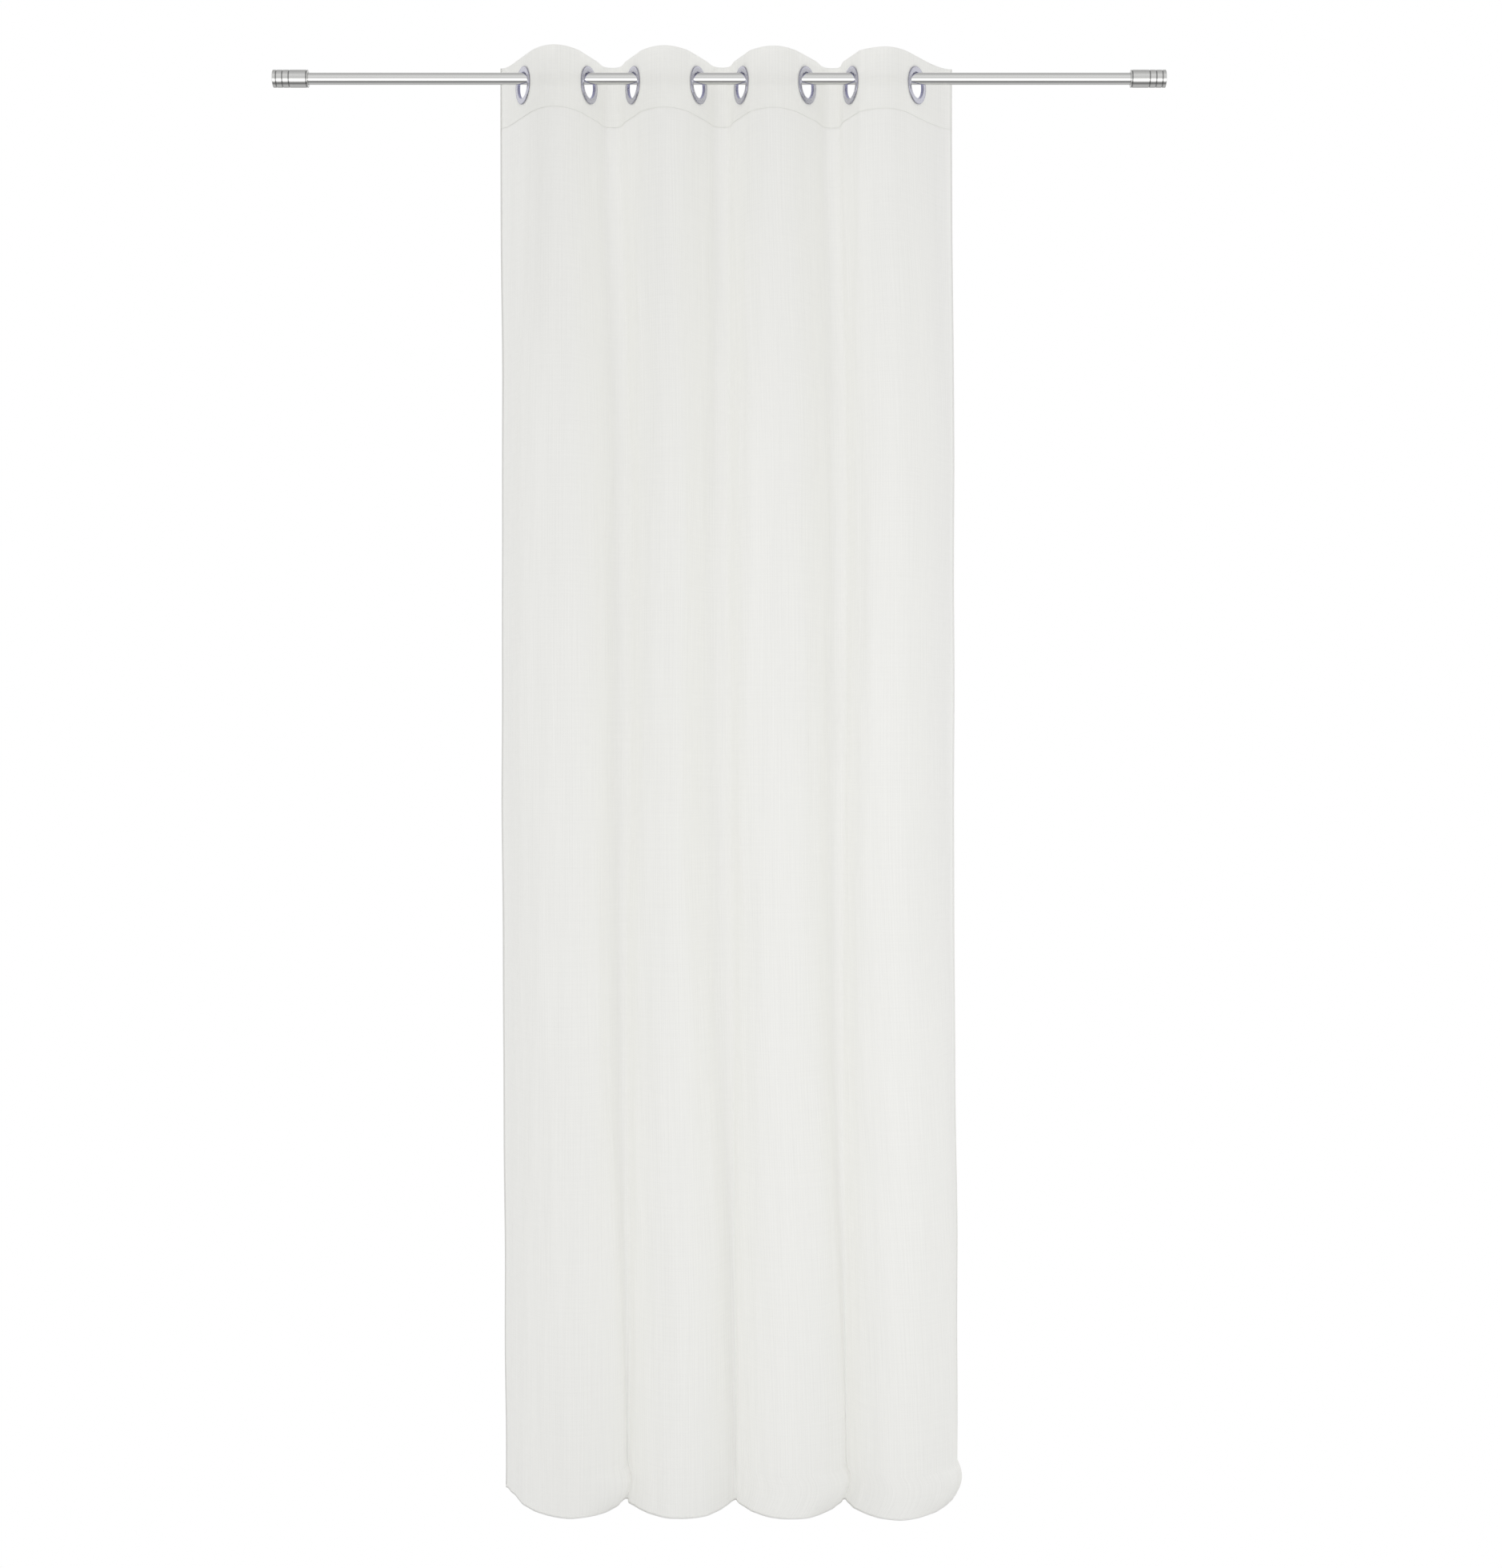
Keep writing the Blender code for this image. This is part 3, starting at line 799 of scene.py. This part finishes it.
class Nodes:
    """Short calls to build a material's or the world's nodes."""

    def __init__(self, tree):
        self.tree = tree
        tree.nodes.clear()

    def add(self, kind, inputs=(), **settings):
        node = self.tree.nodes.new(kind)
        for name, value in settings.items():
            setattr(node, name, value)
        for name, value in dict(inputs).items():
            if isinstance(value, bpy.types.NodeSocket):
                self.tree.links.new(value, node.inputs[name])
            else:
                node.inputs[name].default_value = value
        return node

    def math(self, operation, first, second=0.0):
        return self.add("ShaderNodeMath", {0: first, 1: second}, operation=operation).outputs[0]

    def noise(self, vector, stretch, detail=2.0, roughness=0.5):
        """Noise from 0 to 1 whose grains are 1 / stretch metres long each way."""
        mapping = self.add("ShaderNodeMapping", {"Vector": vector, "Scale": stretch})
        inputs = {"Vector": mapping.outputs[0], "Scale": 1.0, "Detail": detail, "Roughness": roughness}
        return self.add("ShaderNodeTexNoise", inputs).outputs["Fac"]

    def ramp(self, value, low, high, to_low, to_high):
        names = ("Value", "From Min", "From Max", "To Min", "To Max")
        inputs = dict(zip(names, (value, low, high, to_low, to_high)))
        return self.add("ShaderNodeMapRange", inputs).outputs[0]

    def spread(self, noise, to_low, to_high):
        """Most of a noise's range, spread from one value to another."""
        return self.ramp(noise, NOISE_LOW, NOISE_HIGH, to_low, to_high)

    def tint(self, share, first, second):
        """A colour between two, by share. Each is a colour or a socket that gives one."""
        inputs = {0: share}
        for place, color in ((MIX_FIRST, first), (MIX_SECOND, second)):
            is_socket = isinstance(color, bpy.types.NodeSocket)
            inputs[place] = color if is_socket else (*color, 1)
        return self.add("ShaderNodeMix", inputs, data_type="RGBA").outputs[MIX_RESULT]

    def bump(self, height, strength, distance):
        inputs = {"Height": height, "Strength": strength, "Distance": distance}
        return self.add("ShaderNodeBump", inputs).outputs[0]

    def mix_shader(self, share, first, second):
        inputs = {0: share, 1: first.outputs[0], 2: second.outputs[0]}
        return self.add("ShaderNodeMixShader", inputs)

    def object_place(self):
        """The place on the piece, in its own axes."""
        return self.add("ShaderNodeTexCoord").outputs["Object"]

    def blend(self, first, second, share):
        """Mean of two values, with this share of the second."""
        first = self.math("MULTIPLY", first, 1 - share)
        return self.math("ADD", first, self.math("MULTIPLY", second, share))

    def output(self, shader, kind="ShaderNodeOutputMaterial"):
        self.add(kind, {"Surface": shader.outputs[0]})


def new_material(name):
    """An empty material, and the calls that fill it with nodes."""
    material = bpy.data.materials.new(name)
    material.use_nodes = True
    return material, Nodes(material.node_tree)


VOILE_DARK = (0.945, 0.944, 0.919)
VOILE_LIGHT = (0.985, 0.984, 0.962)
# Painted light: how much lighter the colour is over the doubled heading.
DOUBLED_PAINTED_LIGHT = 0.5
WARP_GRAIN = (420, 5, 1)
WEFT_GRAIN = (7, 520, 1)
CLOUD_GRAIN = (3.2, 1.6, 1)
THREAD_GRAIN = (1500, 60, 1)
WEFT_SHARE = 0.25
CLOUD_SHARE = 0.4
THREAD_HEIGHT = 0.5
WEAVE_DEPTH = 0.3 * MM
WEAVE_RELIEF = 0.12
LIGHT_THROUGH = 0.44
# How much of the cloth is open between its threads. The turned-over layer counts as more open, so
# that the heading reads as a brighter band, as in the photo.
OPEN_TURNOVER = 0.55
OPEN_FACE = 0.08
OPEN_UNEVENNESS = 0.03


def voile_material():
    """Sheer slubbed cloth: part of the light passes its threads, part the gaps between them."""
    material, nodes = new_material("voile")
    cloth = nodes.add("ShaderNodeUVMap", uv_map="cloth").outputs["UV"]
    warp_slubs = nodes.noise(cloth, WARP_GRAIN, detail=3)
    weft_slubs = nodes.noise(cloth, WEFT_GRAIN, detail=3)
    clouds = nodes.noise(cloth, CLOUD_GRAIN, detail=3)
    threads = nodes.noise(cloth, THREAD_GRAIN, detail=1)
    slubs = nodes.blend(warp_slubs, weft_slubs, WEFT_SHARE)
    from_cut_edge = nodes.add("ShaderNodeSeparateXYZ", {"Vector": cloth}).outputs["Y"]
    seam = 2 * TURNOVER
    # Painted light: the colour is lighter over the doubled heading, above the seam, lifting the shade
    # that the two layers give it.
    doubled_painted_light = nodes.ramp(from_cut_edge, seam - HEADING_ROW, seam, DOUBLED_PAINTED_LIGHT, 0.0)
    share = nodes.spread(nodes.blend(slubs, clouds, CLOUD_SHARE), 0.0, 0.5)
    color = nodes.tint(nodes.math("ADD", share, doubled_painted_light), VOILE_DARK, VOILE_LIGHT)
    relief = nodes.math("ADD", slubs, nodes.math("MULTIPLY", threads, THREAD_HEIGHT))
    normal = nodes.bump(relief, WEAVE_RELIEF, WEAVE_DEPTH)
    front = nodes.add(
        "ShaderNodeBsdfPrincipled",
        {
            "Base Color": color,
            "Roughness": nodes.spread(slubs, 0.78, 0.92),
            "Specular IOR Level": 0.15,
            "Sheen Weight": 0.05,
            "Sheen Roughness": 0.45,
            "Normal": normal,
        },
    )
    through = nodes.add("ShaderNodeBsdfTranslucent", {"Color": color, "Normal": normal})
    lit = nodes.mix_shader(LIGHT_THROUGH, front, through)
    gaps = nodes.add("ShaderNodeBsdfTransparent", {"Color": WHITE})
    top_edge = TURNOVER
    openness = nodes.ramp(
        from_cut_edge, top_edge - LAYER_OFFSET, top_edge, OPEN_TURNOVER, OPEN_FACE
    )
    uneven = nodes.math("ADD", openness, nodes.spread(slubs, OPEN_UNEVENNESS, -OPEN_UNEVENNESS))
    nodes.output(nodes.mix_shader(uneven, lit, gaps))
    return material


THREAD_DARK = (0.76, 0.76, 0.74)
THREAD_LIGHT = (0.86, 0.86, 0.84)
TWIST_GRAIN = (900, 900, 900)
TWIST_DEPTH = 0.1 * MM
TWIST_RELIEF = 0.4


def thread_material():
    """The twisted thread of the stitches and the dense cloth of the rolled hems."""
    material, nodes = new_material("voile_thread")
    twist = nodes.noise(nodes.object_place(), TWIST_GRAIN, detail=1)
    shader = nodes.add(
        "ShaderNodeBsdfPrincipled",
        {
            "Base Color": nodes.tint(twist, THREAD_DARK, THREAD_LIGHT),
            "Roughness": nodes.spread(twist, 0.55, 0.75),
            "Normal": nodes.bump(twist, TWIST_RELIEF, TWIST_DEPTH),
        },
    )
    nodes.output(shader)
    return material


def from_axis(nodes, place):
    """Distance from the axis that a piece is turned round."""
    across = nodes.add("ShaderNodeMapping", {"Vector": place, "Scale": (1, 1, 0)}).outputs[0]
    return nodes.add("ShaderNodeVectorMath", {0: across}, operation="LENGTH").outputs["Value"]


# Painted shade on the eyelets: the darker, bluer colour inside the barrel and the darker colour round
# the rolled rim.
BARREL_PAINTED_SHADE = (0.42, 0.42, 0.60)
BARREL_FADE = (0.4 * MM, 1.3 * MM)
RIM_PAINTED_SHADE = (0.38, 0.38, 0.45)
RIM_FADE = (1.6 * MM, 0.5 * MM)


def painted_shade_barrel_and_rim(nodes, place, color):
    """Painted shade: a darker, bluer colour inside an eyelet's barrel, and a darker one round its
    rolled rim.
    """
    radius = from_axis(nodes, place)
    barrel_start, barrel_end = (EYELET_HOLE_RADIUS + fade for fade in BARREL_FADE)
    rim_start, rim_end = (EYELET_RADIUS - fade for fade in RIM_FADE)
    barrel = nodes.ramp(radius, barrel_start, barrel_end, 1.0, 0.0)
    rim = nodes.ramp(radius, rim_start, rim_end, 0.0, 1.0)
    return nodes.tint(rim, nodes.tint(barrel, color, BARREL_PAINTED_SHADE), RIM_PAINTED_SHADE)


# Painted shade in the caps' grooves: the colour mixed in down in each groove.
GROOVE_PAINTED_SHADE = (0.24, 0.24, 0.24)
END_FADE = 2 * MM


def cap_groove_painted_shade(nodes, place, color):
    """Painted shade: a darker colour down in a cap's grooves, but not on its two ends."""
    groove_shade = nodes.ramp(from_axis(nodes, place), CAP_RADIUS - GROOVE_DEPTH, CAP_RADIUS, 1.0, 0.0)
    along = nodes.add("ShaderNodeSeparateXYZ", {"Vector": place}).outputs["Z"]
    past_socket_end = nodes.ramp(along, 0, CAP_EDGE, 0.0, 1.0)
    before_closed_end = nodes.ramp(along, CAP_LENGTH - END_FADE, CAP_LENGTH - CAP_EDGE, 1.0, 0.0)
    for share in (past_socket_end, before_closed_end):
        groove_shade = nodes.math("MULTIPLY", groove_shade, share)
    return nodes.tint(groove_shade, color, GROOVE_PAINTED_SHADE)


# A metal's darkest and lightest colour, its least and most roughness, the grain of its fine marks
# each way, how strongly they stand out, and what paints shade into its colour.
Metal = namedtuple("Metal", "dark light smoothest roughest grain relief worn")
METALS = {
    "eyelet_metal": Metal(
        (0.50, 0.50, 0.57), (0.60, 0.60, 0.67), 0.22, 0.30, (500, 500, 500), 0.15, painted_shade_barrel_and_rim
    ),
    "rod_steel": Metal(
        (0.60, 0.60, 0.592), (0.63, 0.63, 0.622), 0.11, 0.15, (1500, 1500, 3), 0.05, None
    ),
    "cap_steel": Metal(
        (0.55, 0.55, 0.54), (0.59, 0.59, 0.58), 0.14, 0.18, (30, 30, 1400), 0.04, cap_groove_painted_shade
    ),
}
SMEAR_GRAIN = (14, 14, 14)
SMEAR_ROUGHNESS = (-0.01, 0.02)
MARK_DEPTH = 0.05 * MM


def metal_material(name):
    """One of the metals, with its fine marks and slow smears."""
    metal = METALS[name]
    material, nodes = new_material(name)
    place = nodes.object_place()
    marks = nodes.noise(place, metal.grain, detail=4, roughness=0.6)
    smears = nodes.spread(nodes.noise(place, SMEAR_GRAIN, detail=2), *SMEAR_ROUGHNESS)
    rough = nodes.math("ADD", nodes.spread(marks, metal.smoothest, metal.roughest), smears)
    color = nodes.tint(nodes.spread(marks, 0.0, 1.0), metal.dark, metal.light)
    # Painted shade: darker colour in the eyelets' barrels and rims and down in the caps' grooves.
    if metal.worn:
        color = metal.worn(nodes, place, color)
    shader = nodes.add(
        "ShaderNodeBsdfPrincipled",
        {
            "Base Color": color,
            "Metallic": 1.0,
            "Roughness": rough,
            "Normal": nodes.bump(marks, metal.relief, MARK_DEPTH),
        },
    )
    nodes.output(shader)
    return material


# ---- Light, floor and camera ----

FLOOR_GAP = 0.03
FLOOR_SIZE = 60
FLOOR_COLOR = (0.5, 0.5, 0.5, 1)
FLOOR_GLOW = 0.15

# How bright the studio looks in a reflection, by the angle round the rod's axis in degrees: 0 is
# level towards the room, 90 is up and -90 is down. Each row is an angle and a brightness.
STUDIO_BANDS = (
    (-180, 1.00),
    (-165, 0.75),
    (-140, 0.62),
    (-114, 0.85),
    (-94, 0.58),
    (-80, 0.30),
    (-68, 0.30),
    (-54, 0.75),
    (-45, 1.70),
    (-38, 2.20),
    (-20, 2.20),
    (-12, 1.30),
    (-4, 0.95),
    (23, 1.02),
    (39, 1.12),
    (58, 0.85),
    (80, 0.74),
    (105, 0.64),
    (125, 0.68),
    (145, 1.00),
    (180, 1.00),
)
BAND_TOP = 2.2
SURROUND_LIGHT = 0.83


def studio_world():
    """White behind the object, even light around it, and the bands in what it mirrors."""
    world = bpy.data.worlds.new("studio")
    bpy.context.scene.world = world
    world.use_nodes = True
    nodes = Nodes(world.node_tree)
    direction = nodes.add("ShaderNodeTexCoord").outputs["Generated"]
    parts = nodes.add("ShaderNodeSeparateXYZ", {"Vector": direction}).outputs
    towards_room = nodes.math("MULTIPLY", parts["Y"], -1.0)
    angle = nodes.math("ARCTAN2", parts["Z"], towards_room)
    share = nodes.ramp(angle, -math.pi, math.pi, 0.0, 1.0)
    bands = nodes.add("ShaderNodeValToRGB", {"Fac": share})
    stops = bands.color_ramp.elements
    for index, (degrees, value) in enumerate(STUDIO_BANDS):
        position = (degrees + 180) / 360
        stop = stops[index] if index < len(stops) else stops.new(position)
        stop.position = position
        stop.color = (value / BAND_TOP,) * 3 + (1,)
    mirrored = nodes.add("ShaderNodeBackground", {"Color": bands.outputs[0], "Strength": BAND_TOP})
    around = nodes.add("ShaderNodeBackground", {"Color": WHITE, "Strength": SURROUND_LIGHT})
    behind = nodes.add("ShaderNodeBackground", {"Color": WHITE, "Strength": 1.0})
    path = nodes.add("ShaderNodeLightPath").outputs
    lighting = nodes.mix_shader(path["Is Glossy Ray"], around, mirrored)
    seen = nodes.mix_shader(path["Is Camera Ray"], lighting, behind)
    nodes.output(seen, "ShaderNodeOutputWorld")


def floor():
    """A plain floor that looks white and lights the cloth a little less than the room does."""
    material, nodes = new_material("pale_floor")
    diffuse = nodes.add("ShaderNodeBsdfDiffuse", {"Color": FLOOR_COLOR})
    glow = nodes.add("ShaderNodeEmission", {"Color": WHITE, "Strength": FLOOR_GLOW})
    shaded = nodes.add("ShaderNodeAddShader", {0: diffuse.outputs[0], 1: glow.outputs[0]})
    white = nodes.add("ShaderNodeEmission", {"Color": WHITE, "Strength": 1.0})
    seen = nodes.add("ShaderNodeLightPath").outputs["Is Camera Ray"]
    nodes.output(nodes.mix_shader(seen, shaded, white))
    half = FLOOR_SIZE / 2
    z = CAD_LOW.z - FLOOR_GAP
    corners = [(-half, -half, z), (half, -half, z), (half, half, z), (-half, half, z)]
    plane = add_object("studio_floor", corners, [(0, 1, 2, 3)], smooth=False)
    plane.data.materials.append(material)
    plane.visible_glossy = False


BACK_LIGHT_PLACE = (3, 3, 0.2)
BACK_LIGHT_STRENGTH = 0.6
BACK_LIGHT_ANGLE = math.radians(40)
FRONT_LIGHT_PLACE = (0.5, -1.3, -1.35)
FRONT_LIGHT_SIZE = (1.6, 2.4)
FRONT_LIGHT_POWER = 7.0


def add_light(data, place):
    """A light that points at the object's middle and shows in no reflection."""
    light = bpy.data.objects.new(data.name, data)
    middle = (CAD_LOW + CAD_HIGH) / 2
    light.location = place
    light.rotation_euler = (middle - Vector(place)).to_track_quat("-Z", "Y").to_euler()
    light.visible_glossy = False
    light.visible_camera = False
    bpy.context.scene.collection.objects.link(light)


def lights():
    sun = bpy.data.lights.new("back_light", "SUN")
    sun.energy = BACK_LIGHT_STRENGTH
    sun.angle = BACK_LIGHT_ANGLE
    add_light(sun, BACK_LIGHT_PLACE)
    area = bpy.data.lights.new("front_light", "AREA")
    area.shape = "RECTANGLE"
    area.size, area.size_y = FRONT_LIGHT_SIZE
    area.energy = FRONT_LIGHT_POWER
    add_light(area, FRONT_LIGHT_PLACE)


# The photograph's view: level, square to the rod, its axis a little right of the rod's middle.
PHOTO_HEIGHT = 1960
MM_PER_PIXEL = 1.354
CAMERA_DISTANCE = 4.26
CAMERA_X = 0.0535
CAMERA_Z = -1.1936
SENSOR = 36
VIEW_END = 200


def camera():
    data = bpy.data.cameras.new("photo_view")
    data.sensor_width = SENSOR
    data.lens = SENSOR * CAMERA_DISTANCE / (PHOTO_HEIGHT * MM_PER_PIXEL * MM)
    data.clip_end = VIEW_END
    obj = bpy.data.objects.new("photo_view", data)
    obj.location = (CAMERA_X, -CAMERA_DISTANCE, CAMERA_Z)
    obj.rotation_euler = Euler((math.pi / 2, 0, 0))
    bpy.context.scene.collection.objects.link(obj)
    bpy.context.scene.camera = obj


def view_settings():
    settings = bpy.context.scene.view_settings
    settings.view_transform = "Standard"
    settings.look = "None"
    settings.exposure = 0
    settings.gamma = 1


def main():
    camera()
    view_settings()
    studio_world()
    lights()
    floor()
    thread = thread_material()
    cloth = curtain_cloth(voile_material())
    hem = rolled_hems(thread)
    stitches = heading_stitches(thread)
    eyelet_rings(metal_material("eyelet_metal"))
    rod_tube(metal_material("rod_steel"))
    rod_caps(metal_material("cap_steel"))


main()
